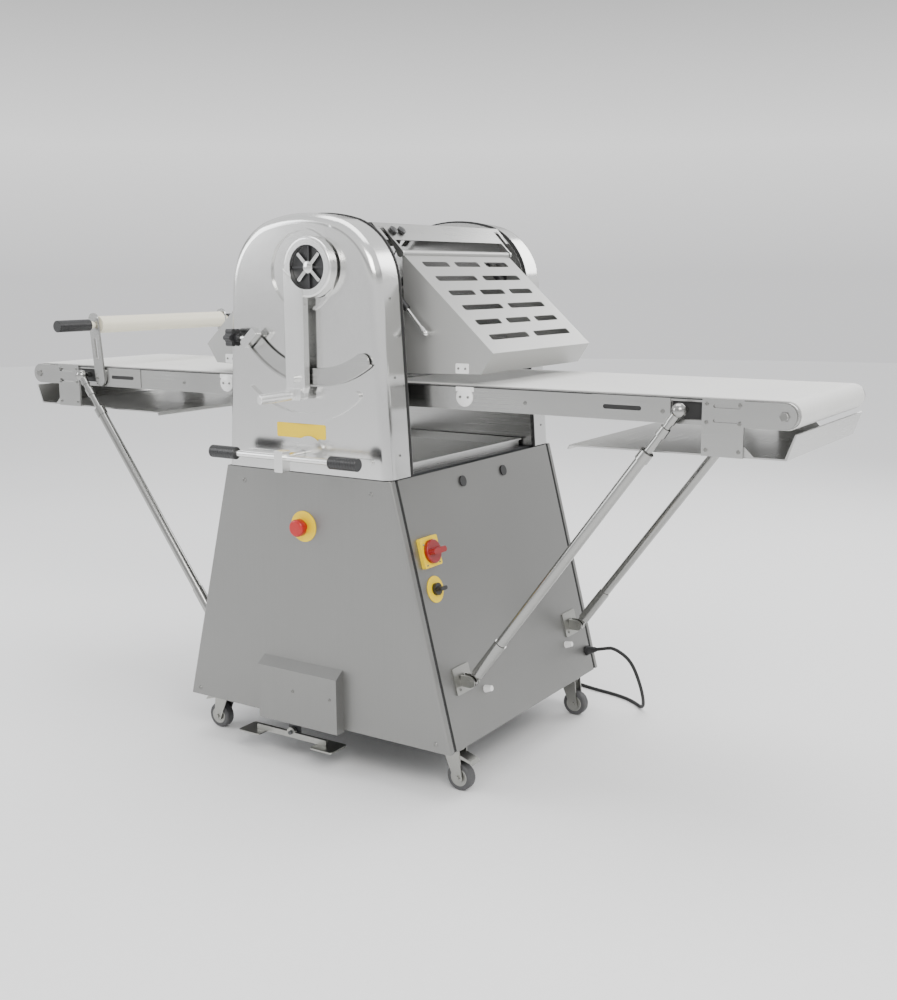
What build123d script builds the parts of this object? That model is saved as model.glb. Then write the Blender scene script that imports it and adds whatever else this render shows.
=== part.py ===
from build123d import *
import os
from math import atan2, cos, degrees, hypot, pi, radians, sin, tan

# Dough sheeter: a mobile base carries two polished casings with the sheeting rollers
# between them, and two belt tables that fold up beside the casings.
# Millimetres. +X runs along the tables to the right, +Z is up, the operator stands at -Y.
# The origin is on the floor under the middle of the machine's outline. The machine's own
# centre plane stands MID behind it, because the control levers reach out in front.

MID = 54.75

# base
BASE_BOTTOM = 112.0
BASE_TOP = 707.0
BASE_HALF_LOW = 392.0
BASE_HALF_HIGH = 240.0
BASE_DEPTH = 364.0
SHEET = 2.0
SEAM = 10.0
FLANGE = 16.0
TUBE = 30.0

# casings
CASING_BACK = 277.0
CASING_TOP = 1285.0
CASING_FOOT = 709.0
PLATE_THICK = 8.0
PLATE_FACE = CASING_BACK - PLATE_THICK

# sheeting rollers
ROLLER_R = 45.0
SHAFT_R = 12.0
FIT = 0.05
ROLLER_HALF = PLATE_FACE - 3.0
LOWER_Z = 866.0
REST_GAP = 20.0
UPPER_Z = LOWER_Z + 2 * ROLLER_R + REST_GAP
CARRIAGE_DOWN = 13.5
CARRIAGE_UP = 25.5

# tables
FOLD_X = 135.0
FOLD_Z = 885.0
FOLD_DEG = 66.0
END_X = 1057.0
BELT_R = 28.0
BELT_THICK = 2.0
BELT_HALF = 222.0
RAIL_R = 26.0
RAIL_THICK = 6.0
TABLE_HALF = 235.0
PIVOT_R = 8.0

# guards
HINGE = (183.0, 1197.0)
HINGE_R = 4.0
GUARD_HALF = 229.0
GUARD_DEG = 148.0
GUARD_TIP = (418.0, 983.0)
GUARD_LIP = (387.0, 937.0)
GUARD_HEEL = (190.0, 932.0)
STAY_PIVOT = (118.0, 1170.0)
STAY_END = (257.0, 1023.0)
STAY_LANE = 247.0
STAY_SLOT = 17.0
LUG_FACE = 237.0
LUG_THICK = 6.0
PIN_REACH = 15.0

# table struts
STRUT_FOOT = (384.0, 253.0)
STRUT_BALL = (857.0, 888.0)
STRUT_LANE = 262.0
STUD_FACE = 246.4
STRUT_TUBE_LENGTH = 685.0

# thickness lever
HUB = (45.0, 1167.0)
ARC_INNER = 220.0
ARC_OUTER = 260.0
CASING_FRONT = BASE_DEPTH

# casters
CASTER_X = 348.0
CASTER_Y = 283.0
WHEEL_R = 32.0
WHEEL_THICK = 24.0
TRAIL = 20.0

# reversing controls
ROD_Z = 753.0
ROD_D = 442.0
PEDAL = (-65.0, 72.0)
PEDAL_PIN_R = 5.0
PEDAL_COVER_DEPTH = 26.0

# rolling pin on the left table
PIN_X = -815.0
PIN_Z = 1023.0
PIN_R = 22.5
PIN_TRUNNION_R = 8.0
ARM_FACE = 240.0
ARM_THICK = 6.0

# power cord
CORD_R = 4.5
COIL_R = 50.0

SIDES = (("right", 1), ("left", -1))
ENDS = (("front", -1), ("rear", 1))


def front(distance):
    """Plane at this distance in front of the centre plane; extrusions go further forward."""
    return Plane.XZ.offset(distance - MID)


def across(half_width):
    """Plane for a profile that is extruded across the machine by -2 * half_width."""
    return front(half_width)


def side_slope():
    return degrees(atan2(BASE_HALF_LOW - BASE_HALF_HIGH, BASE_TOP - BASE_BOTTOM))


def side_x(z):
    """X of the sloping side face at this height."""
    share = (z - BASE_BOTTOM) / (BASE_TOP - BASE_BOTTOM)
    return BASE_HALF_LOW + share * (BASE_HALF_HIGH - BASE_HALF_LOW)


def side_plane(z, y, lift=0.0):
    """Plane on the right side face: local x runs to the rear, local y up the slope."""
    slope = radians(side_slope())
    normal = (cos(slope), 0, sin(slope))
    spot = (side_x(z) + lift * normal[0], MID + y, z + lift * normal[2])
    return Plane(origin=spot, x_dir=(0, 1, 0), z_dir=normal)


def save(builder, name):
    builder.part.label = name
    export_step(builder.part, f"parts/{name}.step")


def flip_left(side):
    """Turns the finished right-hand piece into the left-hand one."""
    if side == "left":
        mirror(about=Plane.YZ, mode=Mode.REPLACE)


def trapezoid(inset=0.0):
    """Outline of the base, seen from the front."""
    slope = radians(side_slope())
    pull = inset / cos(slope)
    low = BASE_BOTTOM + inset
    high = BASE_TOP - inset
    Polygon(
        (side_x(low) - pull, low),
        (side_x(high) - pull, high),
        (pull - side_x(high), high),
        (pull - side_x(low), low),
        align=None,
    )


def make_base_frame():
    post_front = BASE_DEPTH - 6
    with BuildPart() as base_frame:
        for edge in (post_front, TUBE - post_front):
            with BuildSketch(front(edge)):
                trapezoid(12)
                make_inner_opening(12 + TUBE)
            extrude(amount=-TUBE)
        for x, z in ((side_x(130) - 29, BASE_BOTTOM + 27), (side_x(690) - 29, BASE_TOP - 27)):
            with BuildSketch(front(post_front)):
                with Locations((x, z), (-x, z)):
                    Rectangle(TUBE, TUBE)
            extrude(amount=-2 * post_front)
        with BuildSketch(Plane.XY.offset(BASE_TOP - 12)):
            with Locations((0, MID)):
                Rectangle(2 * BASE_HALF_HIGH - 28, 2 * (BASE_DEPTH - FLANGE - 1))
        extrude(amount=14)
        with BuildSketch(Plane.XY.offset(BASE_BOTTOM - 5)):
            with Locations(*caster_places()):
                Rectangle(70, 80)
        extrude(amount=19)
        with BuildSketch(Plane.XZ.offset(346 - MID)):
            with Locations((PEDAL[0], 98)):
                Rectangle(34, 76)
        extrude(amount=6)
        with BuildSketch(Plane.XZ.offset(350 - MID)):
            with Locations(PEDAL):
                Circle(PEDAL_PIN_R)
        extrude(amount=20)
        with BuildSketch(Plane.XY.offset(BASE_BOTTOM + 14)):
            with Locations((0, MID)):
                Rectangle(2 * side_x(130) - 60, 260)
        extrude(amount=6)
    save(base_frame, "base_frame")


def make_inner_opening(inset):
    """Cuts the middle out of a frame outline."""
    slope = radians(side_slope())
    pull = inset / cos(slope)
    low = BASE_BOTTOM + inset
    high = BASE_TOP - inset
    corners = (
        (side_x(low) - pull, low),
        (side_x(high) - pull, high),
        (pull - side_x(high), high),
        (pull - side_x(low), low),
    )
    Polygon(*corners, align=None, mode=Mode.SUBTRACT)


def caster_places():
    return [(sx * CASTER_X, MID + sy * CASTER_Y) for sx in (-1, 1) for sy in (-1, 1)]


def make_end_panels():
    """Front and rear covers: folded sheets whose flanges follow the sloping corners."""
    for end, sign in ENDS:
        with BuildPart() as panel:
            with BuildSketch(front(BASE_DEPTH)):
                trapezoid()
            extrude(amount=-FLANGE)
            sides = panel.edges().filter_by(GeomType.LINE)
            sides = [e for e in sides if e.center().Y < MID - BASE_DEPTH + 1]
            fillet([e for e in sides if abs(e.center().X) > 100], radius=6)
            with BuildSketch(front(BASE_DEPTH - SHEET)):
                trapezoid(SHEET)
            extrude(amount=-FLANGE, mode=Mode.SUBTRACT)
            if end == "front":
                with BuildSketch(front(BASE_DEPTH)):
                    with Locations((-7, 583)):
                        Circle(11.5)
                    with Locations((PEDAL[0], BASE_BOTTOM - 4)):
                        Rectangle(40, 14)
                extrude(amount=-10, mode=Mode.SUBTRACT)
                with BuildSketch(front(BASE_DEPTH - 8)):
                    with Locations((PEDAL[0], BASE_BOTTOM - 4)):
                        Rectangle(40, 14)
                extrude(amount=-12, mode=Mode.SUBTRACT)
            if end == "rear":
                mirror(about=Plane.XZ.offset(-MID), mode=Mode.REPLACE)
        save(panel, f"{end}_panel")


def make_side_panels():
    half = BASE_DEPTH - FLANGE - SEAM
    slope = radians(side_slope())
    reach = (BASE_TOP - BASE_BOTTOM) / cos(slope)
    middle = (BASE_TOP + BASE_BOTTOM) / 2
    with BuildPart() as side_panels:
        with BuildSketch(side_plane(middle, 0)):
            Rectangle(2 * half, reach)
        extrude(amount=-SHEET)
        for z, y, hole in ((542, -284, 12), (460, -288, 12), (167, 318, 9), (671, -89, 10), (671, 98, 10)):
            with BuildSketch(side_plane(z, y, 1)):
                Circle(hole)
            extrude(amount=-6, mode=Mode.SUBTRACT)
        mirror(about=Plane.YZ)
    save(side_panels, "side_panels")


def make_rubber_seals():
    """Black strips in the four corner seams, and the rims on the casings' inner edges."""
    slope = radians(side_slope())
    reach = (BASE_TOP - BASE_BOTTOM) / cos(slope)
    middle = (BASE_TOP + BASE_BOTTOM) / 2
    seam_y = BASE_DEPTH - FLANGE - SEAM / 2
    with BuildPart() as rubber_seals:
        for sign in (-1, 1):
            with BuildSketch(side_plane(middle, sign * seam_y, -1.5)):
                Rectangle(SEAM - 0.6, reach - 4)
            extrude(amount=-6)
        mirror(about=Plane.YZ)
        with BuildSketch(front(CASING_BACK + 4)):
            casing_outline(2.5)
            casing_outline(-SHEET - 2, Mode.SUBTRACT)
            with Locations((0, CASING_FOOT - 10)):
                Rectangle(600, 20, mode=Mode.SUBTRACT)
        extrude(amount=-4)
        mirror(rubber_seals.solids().sort_by(Axis.Z)[-1], about=Plane.XZ.offset(-MID))
    save(rubber_seals, "rubber_seals")


def casing_outline(grow=0.0, mode=Mode.ADD):
    """Arch of a casing: sides that lean in, round shoulders and a shallow crown."""
    with BuildSketch(mode=Mode.PRIVATE) as arch:
        with BuildLine():
            wall = Line((238, CASING_FOOT), (211, 1130))
            shoulder = TangentArc((211, 1130), (105, 1270), tangent=wall % 1)
            ThreePointArc(shoulder @ 1, (0, CASING_TOP), (-105, 1270))
            other = Line((-238, CASING_FOOT), (-211, 1130))
            TangentArc((-211, 1130), (-105, 1270), tangent=other % 1)
            Line((-238, CASING_FOOT), (238, CASING_FOOT))
        make_face()
        if grow:
            offset(amount=grow, kind=Kind.INTERSECTION)
    add(arch.sketch, mode=mode)


def casing_shell():
    """Pressed cover over one end of the rollers, open towards the tables."""
    with BuildPart() as shell:
        with BuildSketch(front(CASING_BACK + 4)):
            casing_outline()
        extrude(amount=CASING_FRONT - CASING_BACK - 4)
        rim = shell.faces().sort_by(Axis.Y)[0].edges()
        fillet([e for e in rim if e.center().Z > CASING_FOOT + 1], radius=24)
        offset(amount=-SHEET, openings=shell.faces().sort_by(Axis.Y)[-1])
    return shell.part


def make_rear_casing():
    with BuildPart() as rear_casing:
        add(casing_shell())
        mirror(about=Plane.XZ.offset(-MID), mode=Mode.REPLACE)
    save(rear_casing, "rear_casing")


def make_front_casing():
    """Casing with a pressed dial recess, two pressed beads and its two shaft holes."""
    smile = CenterArc((0, 1072), 238, 230, 80)
    with BuildPart() as front_casing:
        add(casing_shell())
        with BuildSketch(front(CASING_FRONT - SHEET)):
            SlotArc(smile, 22)
        extrude(amount=SHEET + 7)
        with BuildSketch(front(CASING_FRONT - SHEET)):
            with Locations((8, 1160)):
                Circle(92)
                Circle(86, mode=Mode.SUBTRACT)
        extrude(amount=SHEET + 5)
        with BuildSketch(front(CASING_FRONT - SHEET)):
            with Locations((18, 752)):
                Circle(42)
            with Locations((18, 712)):
                Rectangle(100, 56, mode=Mode.SUBTRACT)
            with Locations((-98, 746), (120, 746)):
                SlotOverall(150, 14)
        extrude(amount=SHEET + 5)
        with BuildSketch(front(CASING_FRONT)):
            with Locations((0, 753)):
                Circle(8.5)
            with Locations(HUB):
                Circle(16)
        extrude(amount=12, both=True, mode=Mode.SUBTRACT)
    save(front_casing, "front_casing")


def make_inner_plates():
    """Structural plates behind the casings, with the roller bearings' slots and the transfer plates."""
    with BuildPart() as inner_plates:
        with BuildSketch(front(CASING_BACK)):
            casing_outline(-SHEET - 0.6)
            with Locations((0, LOWER_Z)):
                Circle(SHAFT_R + FIT, mode=Mode.SUBTRACT)
            with Locations((0, UPPER_Z + (CARRIAGE_UP - CARRIAGE_DOWN) / 2)):
                Rectangle(2 * SHAFT_R + 1, CARRIAGE_UP + CARRIAGE_DOWN + 2 * SHAFT_R + 2, mode=Mode.SUBTRACT)
        extrude(amount=-PLATE_THICK)
        mirror(about=Plane.XZ.offset(-MID))
        for sign in (-1, 1):
            with BuildSketch(across(PLATE_FACE - 0.2)):
                with Locations((sign * 76, 906.5)):
                    Rectangle(48, 5)
            extrude(amount=0.4 - 2 * PLATE_FACE)
        stubs = ((FOLD_X, FOLD_Z, PIVOT_R, 216), (*STAY_PIVOT, 3, 243))
        for x, z, radius, reach in stubs:
            for sign in (-1, 1):
                for edge, run in ((PLATE_FACE, -1), (-PLATE_FACE, 1)):
                    with BuildSketch(front(edge)):
                        with Locations((sign * x, z)):
                            Circle(radius)
                    extrude(amount=run * (PLATE_FACE - reach))
    save(inner_plates, "inner_plates")


def make_rollers():
    """Two sheeting rollers and the carriage that lifts the upper one."""
    for name, height in (("lower_roller", LOWER_Z), ("upper_roller", UPPER_Z)):
        with BuildPart() as roller:
            with BuildSketch(across(ROLLER_HALF)):
                with Locations((0, height)):
                    Circle(ROLLER_R)
            extrude(amount=-2 * ROLLER_HALF)
            chamfer(roller.edges().filter_by(GeomType.CIRCLE), length=1.5)
            with BuildSketch(across(CASING_BACK + 34)):
                with Locations((0, height)):
                    Circle(SHAFT_R)
            extrude(amount=-2 * (CASING_BACK + 34))
            with BuildSketch(across(CASING_BACK + 34)):
                with Locations((0, height)):
                    Circle(SHAFT_R - 3)
                    Circle(4, mode=Mode.SUBTRACT)
            extrude(amount=6)
        save(roller, name)
    with BuildPart() as roller_carriage:
        with BuildSketch(front(CASING_BACK + 24)):
            with Locations((0, UPPER_Z)):
                RectangleRounded(86, 60, 6)
                Circle(SHAFT_R + FIT, mode=Mode.SUBTRACT)
        extrude(amount=-22)
        with BuildSketch(Plane.XY.offset(UPPER_Z + 29)):
            with Locations((0, MID - CASING_BACK - 13)):
                Circle(9)
        extrude(amount=46)
        mirror(about=Plane.XZ.offset(-MID))
    save(roller_carriage, "roller_carriage")


def make_top_cover():
    """Bridge sheet between the casings, with lugs for the guards' hinge pins and two small knobs."""
    skin = ((166, 1226), (130, 1264), (-130, 1264), (-166, 1226))
    inside = ((-163, 1225), (-129, 1261), (129, 1261), (163, 1225))
    half = PLATE_FACE
    with BuildPart() as top_cover:
        with BuildSketch(across(half)):
            Polygon(*skin, *inside, align=None)
        extrude(amount=-2 * half)
        with BuildSketch(Plane.XY.offset(1205)):
            for sign in (-1, 1):
                with Locations((sign * 157, MID - STAY_LANE), (sign * 157, MID + STAY_LANE)):
                    Rectangle(38, STAY_SLOT)
        extrude(amount=52, mode=Mode.SUBTRACT)
        for sign in (-1, 1):
            for edge in (LUG_FACE, LUG_THICK - LUG_FACE):
                with BuildSketch(across(edge)):
                    with Locations((sign * HINGE[0], HINGE[1])):
                        Circle(9)
                    Polygon((sign * 146, 1244), (sign * 165, 1227), (sign * 190, 1202), (sign * 178, 1189), align=None)
                extrude(amount=-LUG_THICK)
            for edge in (LUG_FACE, PIN_REACH - LUG_FACE):
                with BuildSketch(across(edge)):
                    with Locations((sign * HINGE[0], HINGE[1])):
                        Circle(HINGE_R)
                extrude(amount=-PIN_REACH)
        for y in (-216, -184):
            spot = Plane(origin=(148, MID + y, 1245), x_dir=(0, 1, 0), z_dir=(38, 0, 36))
            with BuildSketch(spot):
                Circle(5)
            extrude(amount=2)
            with BuildSketch(spot.offset(2)):
                Circle(10)
            extrude(amount=5)
    save(top_cover, "top_cover")


def make_flour_tray():
    """Shallow pan on the deck that catches flour under the rollers."""
    deck = BASE_TOP + 2
    with BuildPart() as flour_tray:
        with BuildSketch(Plane.XY.offset(deck)):
            with Locations((0, MID)):
                Rectangle(408, 2 * PLATE_FACE - 24)
        extrude(amount=22)
        offset(amount=-SHEET, openings=flour_tray.faces().sort_by(Axis.Z)[-1])
        with BuildSketch(Plane.YZ.offset(204)):
            with Locations((MID, deck + 20)):
                Rectangle(2 * PLATE_FACE - 24, 4)
        extrude(amount=8)
    save(flour_tray, "flour_tray")
def make_tables():
    """Belt table: two rails with a slider bed, the belt, its outer roller and the catch pan."""
    for side, sign in SIDES:
        make_table_frame(side)
        make_belt(side)
        make_end_roller(side)
        make_catch_pan(side)


def rail_outline(radius):
    """Long round-ended outline of the table, seen from the front."""
    length = END_X - FOLD_X
    with Locations(((END_X + FOLD_X) / 2, FOLD_Z)):
        SlotCenterToCenter(length, 2 * radius)


def make_table_frame(side):
    rail_in = TABLE_HALF - RAIL_THICK
    with BuildPart() as table_frame:
        with BuildSketch(across(TABLE_HALF)):
            rail_outline(RAIL_R)
            with Locations((861, FOLD_Z + 1)):
                Rectangle(64, 36, mode=Mode.SUBTRACT)
            with Locations((END_X, FOLD_Z), (FOLD_X, FOLD_Z)):
                Circle(PIVOT_R + FIT, mode=Mode.SUBTRACT)
        extrude(amount=-RAIL_THICK)
        with BuildSketch(across(rail_in)):
            with Locations((861, FOLD_Z + 1)):
                Rectangle(84, 40)
        extrude(amount=-3)
        with BuildSketch(across(rail_in)):
            with Locations(STRUT_BALL):
                Circle(7)
        extrude(amount=STUD_FACE - rail_in)
        with BuildSketch(across(TABLE_HALF + 2)):
            with Locations(((657 + 828) / 2, FOLD_Z)):
                Rectangle(171, 48)
                with Locations((-18, 0)):
                    SlotOverall(84, 9, mode=Mode.SUBTRACT)
        extrude(amount=-2)
        with BuildSketch(across(TABLE_HALF + 4)):
            with Locations((937, 856)):
                Rectangle(84, 112)
                with Locations((8, 42), (8, 14)):
                    SlotOverall(56, 7, mode=Mode.SUBTRACT)
            with Locations((1017, FOLD_Z)):
                Rectangle(76, 50)
            with Locations((1055, FOLD_Z)):
                Circle(25)
            with Locations((END_X, FOLD_Z)):
                Circle(PIVOT_R + FIT, mode=Mode.SUBTRACT)
        extrude(amount=-4)
        mirror(about=Plane.XZ.offset(-MID))
        with BuildSketch(across(rail_in)):
            with Locations(((END_X + FOLD_X) / 2, FOLD_Z + 21.5)):
                Rectangle(END_X - FOLD_X - 40, 4)
            for x in (FOLD_X + 60, 420, 700, 990):
                with Locations((x, FOLD_Z - 4)):
                    Rectangle(20, 26)
        extrude(amount=-2 * rail_in)
        with BuildSketch(across(rail_in)):
            with Locations((FOLD_X, FOLD_Z)):
                Circle(24.5)
                Circle(PIVOT_R + FIT, mode=Mode.SUBTRACT)
        extrude(amount=-2 * rail_in)
        flip_left(side)
        if side == "left":
            for edge in (ARM_FACE + ARM_THICK, -ARM_FACE):
                with BuildSketch(front(edge)):
                    SlotCenterPoint((-810, 957), (PIN_X - 3, PIN_Z + 14), 34)
                    SlotCenterPoint((-810.5, 961), (-813, 986), 9, mode=Mode.SUBTRACT)
                    with Locations((PIN_X, PIN_Z)):
                        Circle(PIN_TRUNNION_R + FIT, mode=Mode.SUBTRACT)
                extrude(amount=-ARM_THICK)
            for edge in (ARM_FACE, -TABLE_HALF):
                with BuildSketch(front(edge)):
                    with Locations((-806, 888)):
                        RectangleRounded(38, 34, 6)
                extrude(amount=TABLE_HALF - ARM_FACE)
    save(table_frame, f"{side}_table_frame")


def make_belt(side):
    with BuildPart() as belt:
        with BuildSketch(across(BELT_HALF)):
            rail_outline(BELT_R)
            with Locations(((END_X + FOLD_X) / 2, FOLD_Z)):
                SlotCenterToCenter(END_X - FOLD_X, 2 * (BELT_R - BELT_THICK), mode=Mode.SUBTRACT)
        extrude(amount=-2 * BELT_HALF)
        flip_left(side)
    save(belt, f"{side}_belt")


def make_end_roller(side):
    with BuildPart() as end_roller:
        with BuildSketch(across(BELT_HALF + 4)):
            with Locations((END_X, FOLD_Z)):
                Circle(BELT_R - BELT_THICK - 0.6)
        extrude(amount=-2 * (BELT_HALF + 4))
        with BuildSketch(across(TABLE_HALF + 7)):
            with Locations((END_X, FOLD_Z)):
                Circle(PIVOT_R)
        extrude(amount=-2 * (TABLE_HALF + 7))
        flip_left(side)
    save(end_roller, f"{side}_end_roller")


def make_catch_pan(side):
    """Sheet pan hung under the outer half of the table; its outer wall slopes in."""
    half = TABLE_HALF - 3
    skin = ((600, 792), (604, 800), (1058, 804), (1076, 852), (1079, 851), (1062, 801), (606, 797), (602, 790))
    with BuildPart() as catch_pan:
        with BuildSketch(across(half)):
            Polygon(*skin, align=None)
        extrude(amount=-2 * half)
        for edge in (TABLE_HALF - 0.3, 3 - TABLE_HALF + 0.3):
            with BuildSketch(across(edge)):
                Polygon((897, 801), (977, 802), (977, 856), (897, 856), align=None)
                Polygon((977, 803), (1000, 803), (977, 826), align=None)
            extrude(amount=-3)
        flip_left(side)
    save(catch_pan, f"{side}_catch_pan")


def strut_axis():
    dx = STRUT_BALL[0] - STRUT_FOOT[0]
    dz = STRUT_BALL[1] - STRUT_FOOT[1]
    return dx, dz, hypot(dx, dz)


def make_strut(side):
    """Telescopic strut pair: a tube hinged low on the base, and a rod with a ball at the table."""
    dx, dz, length = strut_axis()
    along = (dx / length, 0, dz / length)
    for piece in ("tube", "rod"):
        with BuildPart() as strut:
            for lane in (-STRUT_LANE, STRUT_LANE):
                foot = Plane(origin=(STRUT_FOOT[0], MID + lane, STRUT_FOOT[1]), x_dir=(0, 1, 0), z_dir=along)
                ball = Plane(origin=(STRUT_BALL[0], MID + lane, STRUT_BALL[1]), x_dir=(0, 1, 0), z_dir=along)
                if piece == "tube":
                    with BuildSketch(foot.offset(26)):
                        Circle(12)
                        Circle(9, mode=Mode.SUBTRACT)
                    extrude(amount=STRUT_TUBE_LENGTH - 26)
                    with BuildSketch(foot.offset(24)):
                        Circle(14)
                    extrude(amount=4)
                    with BuildSketch(foot.offset(28)):
                        Circle(14)
                        Circle(11.9, mode=Mode.SUBTRACT)
                    extrude(amount=96)
                    with BuildSketch(foot.offset(STRUT_TUBE_LENGTH - 22)):
                        Circle(14.5)
                        Circle(9, mode=Mode.SUBTRACT)
                    extrude(amount=22)
                    with BuildSketch(Plane.XZ.offset(-MID - lane + 4)):
                        with Locations(STRUT_FOOT):
                            Circle(13)
                    extrude(amount=-8)
                    with BuildSketch(foot):
                        Rectangle(8, 20)
                    extrude(amount=26)
                    with BuildSketch(Plane.XZ.offset(-MID - lane + 5)):
                        with Locations(STRUT_FOOT):
                            Circle(5 + FIT)
                    extrude(amount=-10, mode=Mode.SUBTRACT)
                else:
                    with BuildSketch(ball.offset(-8)):
                        Circle(8)
                    extrude(amount=70 - length)
                    with BuildSketch(ball.offset(-64)):
                        Circle(11)
                    extrude(amount=20)
                    with BuildSketch(ball.offset(-30)):
                        Circle(10)
                    extrude(amount=22)
                    with Locations(Location((STRUT_BALL[0], MID + lane, STRUT_BALL[1]))):
                        Sphere(15)
            flip_left(side)
        save(strut, f"{side}_strut_{piece}s")


def make_guard(side):
    """Slotted finger guard with side plates, hinged under the top cover."""
    dx = GUARD_TIP[0] - HINGE[0]
    dz = GUARD_TIP[1] - HINGE[1]
    reach = hypot(dx, dz)
    along = (dx / reach, dz / reach)
    middle = ((HINGE[0] + GUARD_TIP[0]) / 2, (HINGE[1] + GUARD_TIP[1]) / 2)
    with BuildPart() as guard:
        with BuildSketch(across(GUARD_HALF)):
            Polygon(HINGE, GUARD_TIP, GUARD_LIP, GUARD_HEEL, align=None)
            with Locations(HINGE):
                Circle(7)
                Circle(HINGE_R + FIT, mode=Mode.SUBTRACT)
        extrude(amount=-2 * GUARD_HALF)
        with BuildSketch(across(GUARD_HALF - 2.5)):
            Polygon(
                (HINGE[0] - 12, HINGE[1] + 12),
                (HINGE[0] + 8 * along[0] - 8 * along[1], HINGE[1] - 12),
                (GUARD_TIP[0] - 3.4, GUARD_TIP[1] - 0.2),
                (GUARD_LIP[0] - 2.5, GUARD_LIP[1]),
                (GUARD_LIP[0] - 2.5, GUARD_HEEL[1] - 20),
                (HINGE[0] - 12, GUARD_HEEL[1] - 20),
                align=None,
            )
        extrude(amount=5 - 2 * GUARD_HALF, mode=Mode.SUBTRACT)
        face = Plane(origin=(middle[0], MID, middle[1]), x_dir=(0, 1, 0), z_dir=(-along[1], 0, along[0]))
        with BuildSketch(face.offset(3)):
            for row in range(6):
                count = 3 if row % 2 == 0 else 2
                width = 104 if count == 3 else 168
                height = -(reach / 2) + 36 + row * 47
                with Locations((0, -height)):
                    with GridLocations((2 * GUARD_HALF - 60) / count, 1, count, 1):
                        RectangleRounded(width, 17, 6)
        extrude(amount=-9, mode=Mode.SUBTRACT)
        flip_left(side)
    save(guard, f"{side}_guard")


def make_stay(side):
    """Gas stays beside the guard: cylinders pinned to the inner plates, rods at the guard."""
    dx = STAY_END[0] - STAY_PIVOT[0]
    dz = STAY_END[1] - STAY_PIVOT[1]
    length = hypot(dx, dz)
    along = (dx / length, 0, dz / length)
    for piece in ("cylinder", "rod"):
        with BuildPart() as stay:
            for lane in (-STAY_LANE, STAY_LANE):
                pivot = Plane(origin=(STAY_PIVOT[0], MID + lane, STAY_PIVOT[1]), x_dir=(0, 1, 0), z_dir=along)
                tip = Plane(origin=(STAY_END[0], MID + lane, STAY_END[1]), x_dir=(0, 1, 0), z_dir=along)
                if piece == "cylinder":
                    with BuildSketch(pivot.offset(14)):
                        Circle(8)
                    extrude(amount=116)
                    with BuildSketch(pivot):
                        Rectangle(6, 9)
                    extrude(amount=16)
                    with BuildSketch(Plane.XZ.offset(-MID - lane + 3)):
                        with Locations(STAY_PIVOT):
                            Circle(7.5)
                    extrude(amount=-6)
                    with BuildSketch(pivot.offset(24)):
                        Circle(4.2)
                    extrude(amount=120, mode=Mode.SUBTRACT)
                    with BuildSketch(Plane.XZ.offset(-MID - lane + 5)):
                        with Locations(STAY_PIVOT):
                            Circle(3 + FIT)
                    extrude(amount=-10, mode=Mode.SUBTRACT)
                else:
                    with BuildSketch(tip.offset(-4)):
                        Circle(3.6)
                    extrude(amount=-146)
                    with BuildSketch(tip.offset(-16)):
                        Circle(5.5)
                    extrude(amount=14)
                    with Locations(Location((STAY_END[0], MID + lane, STAY_END[1]))):
                        Sphere(7)
                    inward = -1 if lane > 0 else 1
                    stud = Plane(origin=(STAY_END[0], MID + lane, STAY_END[1]), x_dir=(1, 0, 0), z_dir=(0, inward, 0))
                    with BuildSketch(stud):
                        Circle(4)
                    extrude(amount=STAY_LANE - GUARD_HALF - 0.5)
            flip_left(side)
        save(stay, f"{side}_stay_{piece}s")


def make_strut_brackets():
    """Plates and pinned ears low on the side panels that carry the struts."""
    foot_x, foot_z = STRUT_FOOT
    with BuildPart() as strut_brackets:
        for lane in (-STRUT_LANE, STRUT_LANE):
            with BuildSketch(side_plane(foot_z, lane)):
                RectangleRounded(66, 62, 4)
            extrude(amount=4)
            for edge in (lane - 11, lane + 7):
                with BuildSketch(Plane.XZ.offset(-MID - edge)):
                    with Locations((foot_x - 12, foot_z)):
                        Rectangle(24, 26)
                    with Locations(STRUT_FOOT):
                        Circle(13)
                    split(bisect_by=Plane.YZ)
                extrude(amount=-4)
            with BuildSketch(Plane.XZ.offset(-MID - lane + 13)):
                with Locations(STRUT_FOOT):
                    Circle(5)
            extrude(amount=-26)
        with BuildSketch(side_plane(foot_z, 0)):
            Rectangle(700, 90)
        extrude(amount=-60, mode=Mode.SUBTRACT)
        mirror(about=Plane.YZ)
    save(strut_brackets, "strut_brackets")


def make_panel_buffers():
    with BuildPart() as panel_buffers:
        for y in (-178, 222):
            with BuildSketch(side_plane(207, y)):
                Circle(9)
            extrude(amount=18, taper=8)
        mirror(about=Plane.YZ)
    save(panel_buffers, "panel_buffers")


def make_hole_plugs():
    with BuildPart() as hole_plugs:
        for y in (-89, 98):
            with BuildSketch(side_plane(671, y)):
                Circle(13)
            extrude(amount=4)
            with BuildSketch(side_plane(671, y, -6)):
                Circle(9.8)
            extrude(amount=6)
        mirror(about=Plane.YZ)
    save(hole_plugs, "hole_plugs")


def make_pedal_cover():
    """Box with a bevelled top over the pedal linkage, low on the front panel."""
    with BuildPart() as pedal_cover:
        with BuildSketch(Plane.YZ.offset(-140)):
            with BuildLine():
                back = MID - BASE_DEPTH
                front_y = back - PEDAL_COVER_DEPTH
                Polyline((back, 256), (front_y, 238), (front_y, 106), (back, 106), close=True)
            make_face()
        extrude(amount=236)
        rear = pedal_cover.faces().sort_by(Axis.Y)[-1]
        bottom = pedal_cover.faces().sort_by(Axis.Z)[0]
        offset(amount=-SHEET, openings=[rear, bottom])
    save(pedal_cover, "pedal_cover")


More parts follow.
